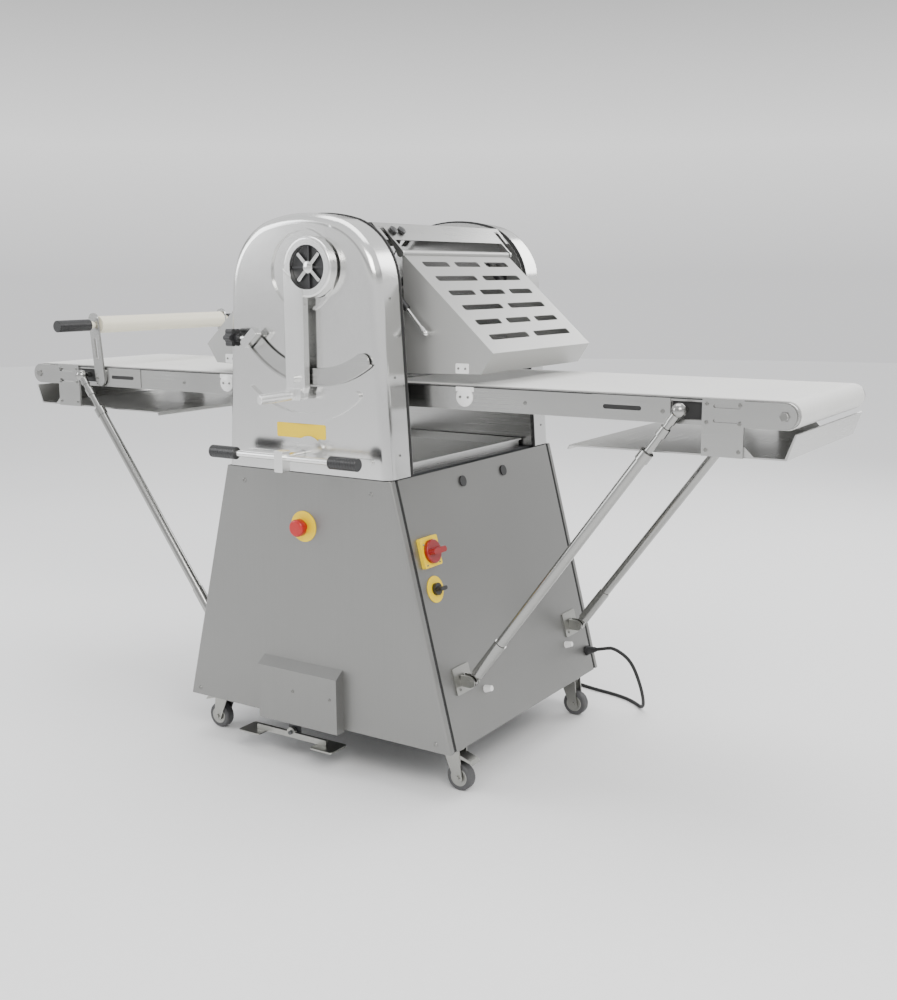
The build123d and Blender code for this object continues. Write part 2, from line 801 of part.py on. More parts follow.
def make_controls():
    """Legend plates, and the emergency stop, isolator and selector that stand on them."""
    stop = (-7, 583)
    with BuildPart() as control_plates:
        with BuildSketch(front(BASE_DEPTH)):
            with Locations(stop):
                Circle(36)
                Circle(11.5, mode=Mode.SUBTRACT)
        extrude(amount=2)
        with BuildSketch(side_plane(542, -284)):
            RectangleRounded(68, 68, 5)
            Circle(8.5, mode=Mode.SUBTRACT)
        extrude(amount=9)
        with BuildSketch(side_plane(460, -288)):
            Circle(30)
            Circle(6.5, mode=Mode.SUBTRACT)
        extrude(amount=2)
    save(control_plates, "control_plates")
    with BuildPart() as estop_button:
        with BuildSketch(front(BASE_DEPTH - 14)):
            with Locations(stop):
                Circle(11)
        extrude(amount=30)
        with BuildSketch(front(BASE_DEPTH + 14)):
            with Locations(stop):
                Circle(20)
        extrude(amount=18)
        fillet(estop_button.edges().sort_by(Axis.Y)[0], radius=6)
    save(estop_button, "estop_button")
    with BuildPart() as isolator_knob:
        with BuildSketch(side_plane(542, -284, -14)):
            Circle(8)
        extrude(amount=26)
        with BuildSketch(side_plane(542, -284, 9.5)):
            Circle(27)
        extrude(amount=10)
        fillet(isolator_knob.edges().filter_by(GeomType.CIRCLE).sort_by(Axis.X)[-1], radius=3)
        with BuildSketch(side_plane(542, -284, 19)):
            SlotOverall(50, 13)
        extrude(amount=16)
    save(isolator_knob, "isolator_knob")
    with BuildPart() as selector_knob:
        with BuildSketch(side_plane(460, -288, -14)):
            Circle(6)
        extrude(amount=20)
        with BuildSketch(side_plane(460, -288, 2.5)):
            Circle(14)
        extrude(amount=8)
        with BuildSketch(side_plane(460, -288, 10)):
            SlotOverall(25, 9)
        extrude(amount=16)
    save(selector_knob, "selector_knob")


def lever_arm():
    """Flat arm of the thickness lever, hanging from the left of its drum head."""
    with BuildPart() as arm:
        with BuildSketch(front(378)):
            Polygon((-21, 1165), (-21, 905), (-12, 892), (28, 892), (33, 905), (33, 1125), align=None)
        extrude(amount=20)
        fillet(arm.faces().sort_by(Axis.Y)[0].edges(), radius=5)
    return arm.part


def lever_grip():
    """Grip that leaves the arm's foot towards the operator."""
    spot = Plane(origin=(2, MID - 388, 888), x_dir=(1, 0, 0), z_dir=(-32, -78, -6))
    with BuildPart() as grip:
        with BuildSketch(spot):
            Circle(11)
        extrude(amount=92)
        fillet(grip.edges(), radius=2)
    return grip.part


def make_thickness_lever():
    """Lever with a drum head, a flat arm and a grip at its foot, and the dial on its head."""
    with BuildPart() as thickness_lever:
        with BuildSketch(front(330)):
            with Locations(HUB):
                Circle(15)
        extrude(amount=42)
        with BuildSketch(front(370)):
            with Locations(HUB):
                Circle(66)
        extrude(amount=24)
        fillet(thickness_lever.edges().filter_by(GeomType.CIRCLE).sort_by(Axis.Y)[0], radius=6)
        with BuildSketch(front(378)):
            with Locations(HUB):
                Circle(48)
        extrude(amount=20, mode=Mode.SUBTRACT)
        add(lever_arm())
        with BuildSketch(front(378)):
            with Locations(HUB):
                Circle(48)
        extrude(amount=30, mode=Mode.SUBTRACT)
        with BuildSketch(front(378)):
            with Locations((6, 890)):
                RectangleRounded(44, 26, 6)
        extrude(amount=26)
        add(lever_grip())
        with BuildSketch(front(377.5)):
            with Locations((8, 925)):
                Circle(9)
        extrude(amount=33)
    save(thickness_lever, "thickness_lever")
    with BuildPart() as thickness_dial:
        with BuildSketch(front(378)):
            with Locations(HUB):
                Circle(47.5)
        extrude(amount=4)
        with BuildSketch(front(382)):
            with Locations(HUB):
                Rectangle(92, 5)
                Rectangle(5, 92)
                Circle(7)
        extrude(amount=5)
    save(thickness_dial, "thickness_dial")


def polar(radius, angle):
    return HUB[0] + radius * cos(radians(angle)), HUB[1] + radius * sin(radians(angle))


def make_arc_rail():
    """Quadrant that the lever's foot sweeps over, standing off the casing on short posts."""
    middle = (ARC_INNER + ARC_OUTER) / 2
    sweep = CenterArc(HUB, middle, 226, 76)
    rim = CenterArc(HUB, ARC_OUTER - 2, 222, 84)
    with BuildPart() as arc_rail:
        with BuildSketch(front(BASE_DEPTH + 4)):
            SlotArc(sweep, ARC_OUTER - ARC_INNER)
        extrude(amount=4)
        with BuildSketch(front(BASE_DEPTH + 4)):
            SlotArc(rim, 4)
        extrude(amount=9)
        with BuildSketch(front(BASE_DEPTH)):
            with Locations(polar(middle, 232), polar(middle, 300)):
                Circle(7)
        extrude(amount=5)
    save(arc_rail, "arc_rail")


def make_stop_clamp():
    """Adjustable stop on the quadrant, tightened by a star knob."""
    angle = 222
    spot = polar(ARC_INNER + 14, angle)
    with BuildPart() as stop_clamp:
        with BuildSketch(front(BASE_DEPTH + 13.6)):
            with Locations(Location((*spot, 0), (0, 0, angle))):
                RectangleRounded(50, 20, 4)
        extrude(amount=19)
        with BuildSketch(front(BASE_DEPTH + 8.5)):
            with Locations(Location((*spot, 0), (0, 0, angle))):
                RectangleRounded(24, 14, 3)
        extrude(amount=6)
        stud = Plane(origin=(spot[0] - 6, MID - BASE_DEPTH - 24, spot[1]), x_dir=(0, 1, 0), z_dir=(-1, 0, 0))
        with BuildSketch(stud):
            Circle(4)
        extrude(amount=50)
    save(stop_clamp, "stop_clamp")
    with BuildPart() as star_knob:
        with BuildSketch(stud.offset(38)):
            Circle(17)
            with PolarLocations(16, 6):
                Circle(6)
        extrude(amount=20)
        with BuildSketch(stud.offset(26)):
            Circle(9)
        extrude(amount=14)
        with BuildSketch(stud.offset(20)):
            Circle(4 + FIT)
        extrude(amount=31, mode=Mode.SUBTRACT)
    save(star_knob, "star_knob")


def make_rolling_pin():
    with BuildPart() as rolling_pin:
        for radius, half in ((PIN_R, 233), (PIN_TRUNNION_R, 262)):
            with BuildSketch(across(half)):
                with Locations((PIN_X, PIN_Z)):
                    Circle(radius)
            extrude(amount=-2 * half)
        for edge, run in ((250, 117), (-250, -117)):
            with BuildSketch(front(edge)):
                with Locations((PIN_X, PIN_Z)):
                    Circle(9.5)
            extrude(amount=run)
        ends = rolling_pin.edges().filter_by(GeomType.CIRCLE).group_by(Axis.Y)
        fillet([*ends[0], *ends[-1]], radius=3)
    save(rolling_pin, "rolling_pin")


def make_reversing_controls():
    """Rocking rod for the operator's hands, and the rocking pedal below it."""
    with BuildPart() as direction_handle:
        with BuildSketch(front(330)):
            with Locations((0, ROD_Z)):
                Circle(7.6)
        extrude(amount=ROD_D - 330)
        rod = Plane(origin=(-208, MID - ROD_D, ROD_Z), x_dir=(0, 1, 0), z_dir=(1, 0, 0))
        with BuildSketch(rod):
            Circle(7)
        extrude(amount=420)
        for start in (0, 346):
            with BuildSketch(rod.offset(start)):
                Circle(10.5)
            extrude(amount=74)
        with BuildSketch(front(ROD_D - 14)):
            with Locations((0, ROD_Z - 8)):
                RectangleRounded(24, 48, 3)
        extrude(amount=26)
    save(direction_handle, "direction_handle")
    pivot_x, pivot_z = PEDAL
    with BuildPart() as foot_pedal:
        with BuildSketch(front(357)):
            with Locations((pivot_x, pivot_z - 6)):
                RectangleRounded(214, 14, 3)
            with Locations(PEDAL):
                Circle(12)
                Circle(PEDAL_PIN_R + FIT, mode=Mode.SUBTRACT)
        extrude(amount=8)
        with BuildSketch(Plane.XY.offset(pivot_z - 16)):
            with Locations((pivot_x - 112, MID - 362), (pivot_x + 112, MID - 362)):
                RectangleRounded(64, 62, 6)
        extrude(amount=4)
    save(foot_pedal, "foot_pedal")


def make_casters():
    """Four swivelling casters; the front pair carries brake tabs."""
    for end, sy in ENDS:
        for side, sx in SIDES:
            x = CASTER_X
            y = MID + sy * CASTER_Y
            wheel_x = x + TRAIL
            with BuildPart() as fork:
                with BuildSketch(Plane.XY.offset(96)):
                    with Locations((x, y)):
                        Circle(25)
                extrude(amount=BASE_BOTTOM - 5.4 - 96)
                for offset_y in (-WHEEL_THICK / 2 - 5, WHEEL_THICK / 2 + 2):
                    with BuildSketch(Plane.XZ.offset(-y - offset_y)):
                        Polygon((x - 20, 97), (x + 24, 97), (wheel_x + 11, WHEEL_R - 4), (wheel_x - 11, WHEEL_R - 4),
                                align=None)
                        with Locations((wheel_x, WHEEL_R)):
                            Circle(12)
                    extrude(amount=-3)
                with BuildSketch(Plane.XY.offset(93)):
                    with Locations((x, y)):
                        Rectangle(40, WHEEL_THICK + 10)
                extrude(amount=4)
                with BuildSketch(Plane.XZ.offset(-y + WHEEL_THICK / 2 + 8)):
                    with Locations((wheel_x, WHEEL_R)):
                        Circle(5)
                extrude(amount=-WHEEL_THICK - 16)
                if end == "front":
                    with BuildSketch(Plane.XZ.offset(-y + WHEEL_THICK / 2 + 4)):
                        Polygon((x + 10, 84), (x + 10, 92), (wheel_x + 34, 78), (wheel_x + 40, 70), (wheel_x + 32, 72),
                                align=None)
                    extrude(amount=-WHEEL_THICK - 8)
                flip_left(side)
            save(fork, f"{end}_{side}_caster_fork")
            with BuildPart() as wheel:
                with BuildSketch(Plane.XZ.offset(-y + WHEEL_THICK / 2)):
                    with Locations((wheel_x, WHEEL_R)):
                        Circle(WHEEL_R)
                        Circle(5 + FIT, mode=Mode.SUBTRACT)
                extrude(amount=-WHEEL_THICK)
                tread = wheel.edges().filter_by(GeomType.CIRCLE).group_by(SortBy.RADIUS)[-1]
                fillet(tread, radius=5)
                flip_left(side)
            save(wheel, f"{end}_{side}_caster_wheel")


def make_drive_motor():
    """Geared motor on the base floor plate."""
    floor = BASE_BOTTOM + 20
    with BuildPart() as drive_motor:
        with BuildSketch(Plane.XY.offset(floor)):
            with Locations((-40, MID)):
                Rectangle(170, 220)
        extrude(amount=10)
        with BuildSketch(Plane.XZ.offset(-MID + 100)):
            with Locations((-40, floor + 82)):
                Circle(70)
                with Locations((0, -42)):
                    Rectangle(110, 70)
        extrude(amount=-170)
        with BuildSketch(Plane.XZ.offset(-MID + 120)):
            with Locations((-40, floor + 82)):
                Circle(12)
        extrude(amount=-230)
        with BuildSketch(Plane.XZ.offset(-MID + 122)):
            with Locations((-40, floor + 82)):
                Circle(38)
        extrude(amount=-16)
    save(drive_motor, "drive_motor")


def link_travel(foot, end, centre, swing):
    """Extension in mm and turn in degrees of a link whose far end swings about a centre."""
    angle = radians(swing)
    x = end[0] - centre[0]
    z = end[1] - centre[1]
    moved_x = centre[0] + x * cos(angle) - z * sin(angle) - foot[0]
    moved_z = centre[1] + x * sin(angle) + z * cos(angle) - foot[1]
    start_x = end[0] - foot[0]
    start_z = end[1] - foot[1]
    turn = degrees(atan2(moved_z, moved_x) - atan2(start_z, start_x))
    return hypot(moved_x, moved_z) - hypot(start_x, start_z), turn


def print_couplings():
    """How far the guards, struts and stays move while a table folds fully."""
    strut_slide, strut_turn = link_travel(STRUT_FOOT, STRUT_BALL, (FOLD_X, FOLD_Z), FOLD_DEG)
    stay_slide, stay_turn = link_travel(STAY_PIVOT, STAY_END, HINGE, GUARD_DEG)
    print(f"table folds {FOLD_DEG} deg, guard swings {GUARD_DEG} deg")
    print(f"strut extends {strut_slide:.2f} mm and turns {strut_turn:.2f} deg")
    print(f"stay extends {stay_slide:.2f} mm and turns {stay_turn:.2f} deg")


def make_power_cord():
    """Gland, lead, put-away coil and plug."""
    floor = CORD_R + 0.1
    gland_y = 318
    with BuildPart() as cord_gland:
        with BuildSketch(side_plane(167, gland_y, -6)):
            Circle(8.6)
        extrude(amount=6.5)
        with BuildSketch(side_plane(167, gland_y)):
            RegularPolygon(14, 6)
        extrude(amount=7)
        with BuildSketch(side_plane(167, gland_y, 7)):
            Circle(11)
        with BuildSketch(side_plane(167, gland_y, 30)):
            Circle(6.5)
        loft()
    save(cord_gland, "cord_gland")
    mouth = side_plane(167, gland_y, 30).origin
    coil = (170, MID + BASE_DEPTH + 76)
    route = [
        (mouth.X, mouth.Y, mouth.Z),
        (mouth.X + 50, mouth.Y + 2, mouth.Z + 12.7),
        (mouth.X + 94, mouth.Y + 10, mouth.Z - 14),
        (mouth.X + 114, mouth.Y + 22, mouth.Z - 68),
        (mouth.X + 120, mouth.Y + 42, mouth.Z - 124),
        (mouth.X + 104, mouth.Y + 80, floor),
        (mouth.X + 52, mouth.Y + 124, floor),
        (mouth.X - 8, mouth.Y + 146, floor),
        (mouth.X - 84, mouth.Y + 156, floor),
        (coil[0] + 72, coil[1] + COIL_R + 8, floor),
        (coil[0] + 14, coil[1] + COIL_R + 5, floor),
    ]
    radii = arc_radii(route)
    print("cord arc radii", [round(r) for r in radii])
    with BuildPart() as power_cord:
        with BuildLine() as path:
            FilletPolyline(*route, radius=radii)
        with BuildSketch(Plane(origin=mouth, z_dir=(50, 2, 12.7))):
            Circle(CORD_R)
        sweep()
    length = sum(edge.length for edge in path.edges())
    share = power_cord.part.volume / (pi * CORD_R**2 * length)
    print("cord tube", round(length), "mm, volume share", round(share, 4))
    save(power_cord, "power_cord")
    with BuildPart() as cord_coil:
        with BuildSketch(Plane.XY):
            with Locations(coil):
                Circle(COIL_R + 2 * CORD_R)
                Circle(COIL_R - 2 * CORD_R, mode=Mode.SUBTRACT)
        extrude(amount=4 * CORD_R)
        fillet(cord_coil.edges(), radius=3.5)
    save(cord_coil, "cord_coil")
    with BuildPart() as power_plug:
        plug = Plane(origin=(coil[0] - 12, coil[1] + COIL_R + 1, 13.5), x_dir=(0, 1, 0), z_dir=(-1, 0, 0))
        with BuildSketch(plug):
            Circle(CORD_R)
        extrude(amount=30)
        with BuildSketch(plug.offset(26)):
            Circle(7)
        with BuildSketch(plug.offset(52)):
            Circle(11)
        loft()
        with BuildSketch(plug.offset(50)):
            RectangleRounded(40, 26, 7)
        extrude(amount=24)
        for y, z, w, h in ((0, 6, 4, 8), (-11, -5, 6.3, 4), (11, -5, 6.3, 4)):
            with BuildSketch(plug.offset(73)):
                with Locations((y, z)):
                    Rectangle(w, h)
            extrude(amount=18)
    save(power_plug, "power_plug")


def arc_radii(route):
    """Largest round for each corner of the cord's route that its two runs allow."""
    radii = []
    for before, corner, after in zip(route, route[1:], route[2:]):
        leg_in = Vector(*corner) - Vector(*before)
        leg_out = Vector(*after) - Vector(*corner)
        turn = radians(leg_in.get_angle(leg_out))
        radii.append(0.45 * min(leg_in.length, leg_out.length) / tan(turn / 2))
    return radii


def main():
    os.makedirs("parts", exist_ok=True)
    make_base_frame()
    make_end_panels()
    make_side_panels()
    make_rubber_seals()
    make_rear_casing()
    make_front_casing()
    make_inner_plates()
    make_rollers()
    make_top_cover()
    make_flour_tray()
    make_tables()
    for side, _ in SIDES:
        make_strut(side)
        make_guard(side)
        make_stay(side)
    make_strut_brackets()
    make_panel_buffers()
    make_hole_plugs()
    make_pedal_cover()
    make_controls()
    make_thickness_lever()
    make_arc_rail()
    make_stop_clamp()
    make_rolling_pin()
    make_reversing_controls()
    make_casters()
    make_drive_motor()
    make_power_cord()
    print_couplings()


main()
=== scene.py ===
"""Looks of the dough sheeter: camera, studio, cord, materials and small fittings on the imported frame.

Places are written in millimetres from the machine's centre plane, as in the part's source, and at() turns
them into the frame's metres.
"""

from math import cos, pi, radians, sin

import bmesh
import bpy
from mathutils import Matrix, Vector


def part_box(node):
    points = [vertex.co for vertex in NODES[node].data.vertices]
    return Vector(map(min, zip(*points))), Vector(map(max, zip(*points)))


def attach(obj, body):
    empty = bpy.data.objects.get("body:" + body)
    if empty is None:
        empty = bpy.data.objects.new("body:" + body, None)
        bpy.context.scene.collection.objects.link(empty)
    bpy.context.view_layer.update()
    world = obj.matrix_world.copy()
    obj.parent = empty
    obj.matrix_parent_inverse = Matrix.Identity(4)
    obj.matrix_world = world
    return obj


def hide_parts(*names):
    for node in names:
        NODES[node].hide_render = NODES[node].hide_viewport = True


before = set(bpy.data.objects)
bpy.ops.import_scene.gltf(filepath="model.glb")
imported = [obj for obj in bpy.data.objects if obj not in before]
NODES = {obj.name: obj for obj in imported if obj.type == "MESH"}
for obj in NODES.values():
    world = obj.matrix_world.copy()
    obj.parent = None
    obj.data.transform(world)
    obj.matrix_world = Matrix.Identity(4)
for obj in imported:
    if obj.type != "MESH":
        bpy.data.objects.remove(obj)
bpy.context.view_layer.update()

MID = 54.75
MM = 0.001
SIDES = (("right", 1), ("left", -1))
ENDS = (("front", -1), ("rear", 1))


def at(x, y, z):
    """A place given from the machine's centre plane, in the frame's metres."""
    return Vector((x, MID + y, z)) * MM


# camera and studio

CAMERA_PLACE = (1.752, -2.399, 1.148)
CAMERA_TURN = 33.10
CAMERA_DOWN = 10.56
CAMERA_ROLL = -0.32
LENS = 43.4


def make_camera():
    turn, down = radians(CAMERA_TURN), radians(CAMERA_DOWN)
    ahead = Vector((-sin(turn) * cos(down), cos(turn) * cos(down), -sin(down)))
    right = Vector((cos(turn), sin(turn), 0))
    up = right.cross(ahead)
    axes = Matrix((right, up, -ahead)).transposed().to_4x4()
    data = bpy.data.cameras.new("camera")
    data.lens = LENS
    data.clip_end = 60
    camera = bpy.data.objects.new("camera", data)
    bpy.context.collection.objects.link(camera)
    roll = Matrix.Rotation(radians(CAMERA_ROLL), 4, "Z")
    camera.matrix_world = Matrix.Translation(CAMERA_PLACE) @ axes @ roll
    bpy.context.scene.camera = camera


def area_light(name, place, target, size, power, tint=(1, 1, 1)):
    data = bpy.data.lights.new(name, "AREA")
    data.shape = "RECTANGLE"
    data.size, data.size_y = size
    data.energy = power
    data.color = tint
    lamp = bpy.data.objects.new(name, data)
    bpy.context.collection.objects.link(lamp)
    lamp.location = place
    lamp.rotation_euler = (Vector(target) - Vector(place)).to_track_quat("-Z", "Y").to_euler()


def make_studio():
    area_light("key", (3.2, -3.0, 3.6), (0, 0, 0.8), (2.6, 1.8), 150, (1, 0.985, 0.96))
    area_light("fill", (-3.6, -2.6, 2.4), (0, 0, 0.8), (2.2, 2.2), 70, (0.96, 0.98, 1))
    area_light("top", (0, 0.4, 4.2), (0, 0, 0.6), (3.4, 2.4), 90)
    area_light("back", (1.2, 3.6, 2.6), (0, 0, 0.8), (2.6, 1.6), 60)
    world = bpy.data.worlds.new("studio")
    bpy.context.scene.world = world
    world.use_nodes = True
    tree = world.node_tree
    sky = tree.nodes["Background"]
    sky.inputs["Strength"].default_value = 1.3
    way = tree.nodes.new("ShaderNodeTexCoord")
    split = tree.nodes.new("ShaderNodeSeparateXYZ")
    shade = tree.nodes.new("ShaderNodeValToRGB")
    stops = shade.color_ramp.elements
    stops[0].position, stops[0].color = 0.0, (0.72, 0.72, 0.73, 1)
    stops[1].position, stops[1].color = 1.0, (0.86, 0.87, 0.89, 1)
    for position, grey in ((0.10, 1.0), (0.28, 0.30), (0.42, 0.95)):
        stops.new(position).color = (grey, grey, grey, 1)
    tree.links.new(way.outputs["Generated"], split.inputs[0])
    tree.links.new(split.outputs["Z"], shade.inputs["Fac"])
    tree.links.new(shade.outputs["Color"], sky.inputs["Color"])


# materials


def noise(tree, scale, detail=4.0):
    """Noise over the object's own metres, stretched where the scale differs by axis."""
    way = tree.nodes.new("ShaderNodeTexCoord")
    stretch = tree.nodes.new("ShaderNodeMapping")
    stretch.inputs["Scale"].default_value = scale
    field = tree.nodes.new("ShaderNodeTexNoise")
    field.inputs["Scale"].default_value = 1.0
    field.inputs["Detail"].default_value = detail
    tree.links.new(way.outputs["Object"], stretch.inputs["Vector"])
    tree.links.new(stretch.outputs["Vector"], field.inputs["Vector"])
    return field.outputs["Fac"]


def ramp(tree, value, low, high):
    span = tree.nodes.new("ShaderNodeMapRange")
    span.inputs["From Min"].default_value = 0.3
    span.inputs["From Max"].default_value = 0.7
    span.inputs["To Min"].default_value = low
    span.inputs["To Max"].default_value = high
    tree.links.new(value, span.inputs["Value"])
    return span.outputs["Result"]


def shades(tree, value, dark, light):
    mix = tree.nodes.new("ShaderNodeValToRGB")
    stops = mix.color_ramp.elements
    stops[0].position, stops[0].color = 0.3, (*dark, 1)
    stops[1].position, stops[1].color = 0.7, (*light, 1)
    tree.links.new(value, mix.inputs["Fac"])
    return mix.outputs["Color"]


def finish_of(name, colour, metallic, rough, grain, bump=0.1, tint=0.05, spread=0.06, smudge=5.0, coat=0.0):
    """A surface with fine grain in its bump and roughness, and broad smudges in its colour."""
    material = bpy.data.materials.new(name)
    material.use_nodes = True
    tree = material.node_tree
    shader = tree.nodes["Principled BSDF"]
    shader.inputs["Metallic"].default_value = metallic
    shader.inputs["Coat Weight"].default_value = coat
    fine = noise(tree, grain)
    broad = noise(tree, (smudge, smudge, smudge), 3.0)
    dark = tuple(c * (1 - tint) for c in colour)
    light = tuple(min(1.0, c * (1 + tint)) for c in colour)
    both = tree.nodes.new("ShaderNodeMath")
    both.operation = "MULTIPLY_ADD"
    both.inputs[1].default_value = 0.5
    half = tree.nodes.new("ShaderNodeMath")
    half.operation = "MULTIPLY"
    half.inputs[1].default_value = 0.5
    tree.links.new(broad, half.inputs[0])
    tree.links.new(fine, both.inputs[0])
    tree.links.new(half.outputs[0], both.inputs[2])
    tree.links.new(shades(tree, both.outputs[0], dark, light), shader.inputs["Base Color"])
    tree.links.new(ramp(tree, both.outputs[0], rough - spread, rough + spread), shader.inputs["Roughness"])
    relief = tree.nodes.new("ShaderNodeBump")
    relief.inputs["Strength"].default_value = bump
    relief.inputs["Distance"].default_value = 0.0002
    tree.links.new(fine, relief.inputs["Height"])
    tree.links.new(relief.outputs["Normal"], shader.inputs["Normal"])
    return material


def woven(name, colour):
    """Coated belt cloth: crossed threads a millimetre and a half apart, with flour-dulled patches."""
    material = finish_of(name, colour, 0.0, 0.62, (90, 90, 90), bump=0.15, tint=0.035, smudge=7.0)
    tree = material.node_tree
    shader = tree.nodes["Principled BSDF"]
    way = tree.nodes.new("ShaderNodeTexCoord")
    heights = []
    for direction in ("X", "Y"):
        threads = tree.nodes.new("ShaderNodeTexWave")
        threads.bands_direction = direction
        threads.inputs["Scale"].default_value = 200
        tree.links.new(way.outputs["Object"], threads.inputs["Vector"])
        heights.append(threads.outputs["Fac"])
    cross = tree.nodes.new("ShaderNodeMath")
    cross.operation = "MULTIPLY"
    tree.links.new(heights[0], cross.inputs[0])
    tree.links.new(heights[1], cross.inputs[1])
    relief = tree.nodes.new("ShaderNodeBump")
    relief.inputs["Strength"].default_value = 0.35
    relief.inputs["Distance"].default_value = 0.0003
    tree.links.new(cross.outputs[0], relief.inputs["Height"])
    tree.links.new(relief.outputs["Normal"], shader.inputs["Normal"])
    return material


BRUSHED_X = (6, 900, 900)
BRUSHED_Z = (900, 900, 6)
BRUSHED_Y = (900, 6, 900)
GRANULAR = (700, 700, 700)
SHARP = (260, 260, 260)

MATERIALS = {
    "panel": finish_of("panel_steel", (0.25, 0.25, 0.243), 0.85, 0.44, BRUSHED_Z,
                       bump=0.10, tint=0.06, smudge=3.0),
    "cover": finish_of("cover_steel", (0.50, 0.50, 0.49), 1.0, 0.30, BRUSHED_Y, bump=0.08),
    "mirror": finish_of("polished_steel", (0.72, 0.72, 0.71), 1.0, 0.17, SHARP,
                        bump=0.02, tint=0.03, spread=0.04),
    "lever": finish_of("lever_steel", (0.80, 0.80, 0.79), 1.0, 0.24, BRUSHED_Z, bump=0.05, tint=0.03),
    "arc": finish_of("arc_steel", (0.50, 0.50, 0.49), 1.0, 0.24, BRUSHED_X, bump=0.04, tint=0.03),
    "screw": finish_of("screw_steel", (0.26, 0.26, 0.25), 1.0, 0.30, SHARP, bump=0.05, tint=0.08, smudge=30.0),
    "rail": finish_of("rail_steel", (0.44, 0.44, 0.43), 1.0, 0.24, BRUSHED_X, bump=0.10, tint=0.05),
    "strut": finish_of("strut_steel", (0.34, 0.34, 0.33), 1.0, 0.20, SHARP, bump=0.05, tint=0.05),
    "guard": finish_of("guard_paint", (0.40, 0.40, 0.39), 0.6, 0.36, GRANULAR, bump=0.12, tint=0.03),
    "zinc": finish_of("zinc_plate", (0.36, 0.36, 0.34), 1.0, 0.34, SHARP, bump=0.10, tint=0.08, smudge=20.0),
    "bright": finish_of("ground_chrome", (0.80, 0.80, 0.81), 1.0, 0.09, BRUSHED_X,
                        bump=0.03, tint=0.02, spread=0.03),
    "frame": finish_of("frame_paint", (0.055, 0.057, 0.06), 0.0, 0.50, GRANULAR, bump=0.2, coat=0.1),
    "motor": finish_of("motor_paint", (0.10, 0.13, 0.17), 0.0, 0.48, GRANULAR, bump=0.3, coat=0.1),
    "rubber": finish_of("black_rubber", (0.016, 0.016, 0.016), 0.0, 0.68, GRANULAR, bump=0.25, tint=0.2),
    "tyre": finish_of("wheel_rubber", (0.07, 0.07, 0.072), 0.0, 0.60, GRANULAR,
                      bump=0.3, tint=0.15, smudge=25.0),
    "black": finish_of("black_plastic", (0.018, 0.018, 0.019), 0.0, 0.36, GRANULAR, bump=0.18, tint=0.15),
    "white": finish_of("white_acrylic", (0.80, 0.80, 0.79), 0.0, 0.28, GRANULAR,
                       bump=0.05, tint=0.02, coat=0.3),
    "cream": finish_of("pin_plastic", (0.78, 0.74, 0.60), 0.0, 0.35, BRUSHED_Y, bump=0.08, tint=0.04),
    "yellow": finish_of("yellow_plate", (0.86, 0.60, 0.0), 0.0, 0.45, GRANULAR, bump=0.08, tint=0.03),
    "red": finish_of("red_plastic", (0.42, 0.002, 0.002), 0.0, 0.34, GRANULAR, bump=0.08, tint=0.05, coat=0.2),
    "maroon": finish_of("dark_red_plastic", (0.26, 0.002, 0.004), 0.0, 0.32, GRANULAR,
                        bump=0.1, tint=0.05, coat=0.3),
    "belt": woven("belt_cloth", (0.72, 0.72, 0.70)),
    "floor": finish_of("studio_floor", (0.93, 0.93, 0.93), 0.0, 0.62, (40, 40, 40),
                       bump=0.03, tint=0.01, smudge=1.0),
}

NODE_FINISH = {
    "panel": ("front_panel", "rear_panel", "side_panels", "pedal_cover"),
    "cover": ("top_cover", "flour_tray", "right_catch_pan", "left_catch_pan"),
    "mirror": ("front_casing", "rear_casing", "stop_clamp", "right_stay_rods", "left_stay_rods"),
    "rail": ("inner_plates", "right_table_frame", "left_table_frame"),
    "strut": ("right_strut_tubes", "left_strut_tubes", "right_strut_rods", "left_strut_rods"),
    "guard": ("right_guard", "left_guard"),
    "lever": ("thickness_lever", "direction_handle"),
    "arc": ("arc_rail",),
    "zinc": ("strut_brackets", "roller_carriage", "foot_pedal", "front_right_caster_fork",
             "front_left_caster_fork", "rear_right_caster_fork", "rear_left_caster_fork"),
    "bright": ("lower_roller", "upper_roller", "right_end_roller", "left_end_roller"),
    "frame": ("base_frame",),
    "motor": ("drive_motor",),
    "rubber": ("rubber_seals",),
    "tyre": ("front_right_caster_wheel", "front_left_caster_wheel", "rear_right_caster_wheel",
             "rear_left_caster_wheel"),
    "black": ("hole_plugs", "cord_gland", "power_plug", "thickness_dial", "star_knob", "selector_knob",
              "right_stay_cylinders", "left_stay_cylinders"),
    "white": ("panel_buffers",),
    "cream": ("rolling_pin",),
    "yellow": ("control_plates",),
    "red": ("estop_button",),
    "maroon": ("isolator_knob",),
    "belt": ("right_belt", "left_belt"),
}


def paint_nodes():
    for finish, names in NODE_FINISH.items():
        for name in names:
            slots = NODES[name].data.materials
            slots.clear()
            slots.append(MATERIALS[finish])


# small fittings

TABLE_Z = 885
DISC_X = 350
SLOT_X = 724.5
WINDOW_X = 861
BRACKET_X = 937
END_X = 1057
RAIL_FACE = 235.1
WINDOW_FACE = 229.2
BRACKET_FACE = 239.2
LABEL = (-7, 804)
LABEL_SIZE = (142, 33)
PANEL_SCREWS = ((-186, 675), (186, 675), (-360, 130), (352, 130))
CASING_SCREW_X = 100
CASING_SCREW_ZS = (760, 930, 1100)
PEDAL_SCREW_XS = (-34, 76)
PEDAL_SCREW_Z = 188
DISC_SCREW_DX = 10
BRACKET_BOLT_DX = 33
BRACKET_BOLT_ZS = (902, 866, 812)
FRAME_SCREW_XS = (500, 812)
FRAME_SCREW_Z = 882
GUARD_FOOT = (340, 948)
GUARD_SCREW_DX = 9
STRUT_SCREWS = (380, 238)
STRUT_SCREW_DY = 18
ISOLATOR = (300, -284, 542)
ISOLATOR_SCREW = 24
KNOB_X = 148
KNOB_Z = 1245
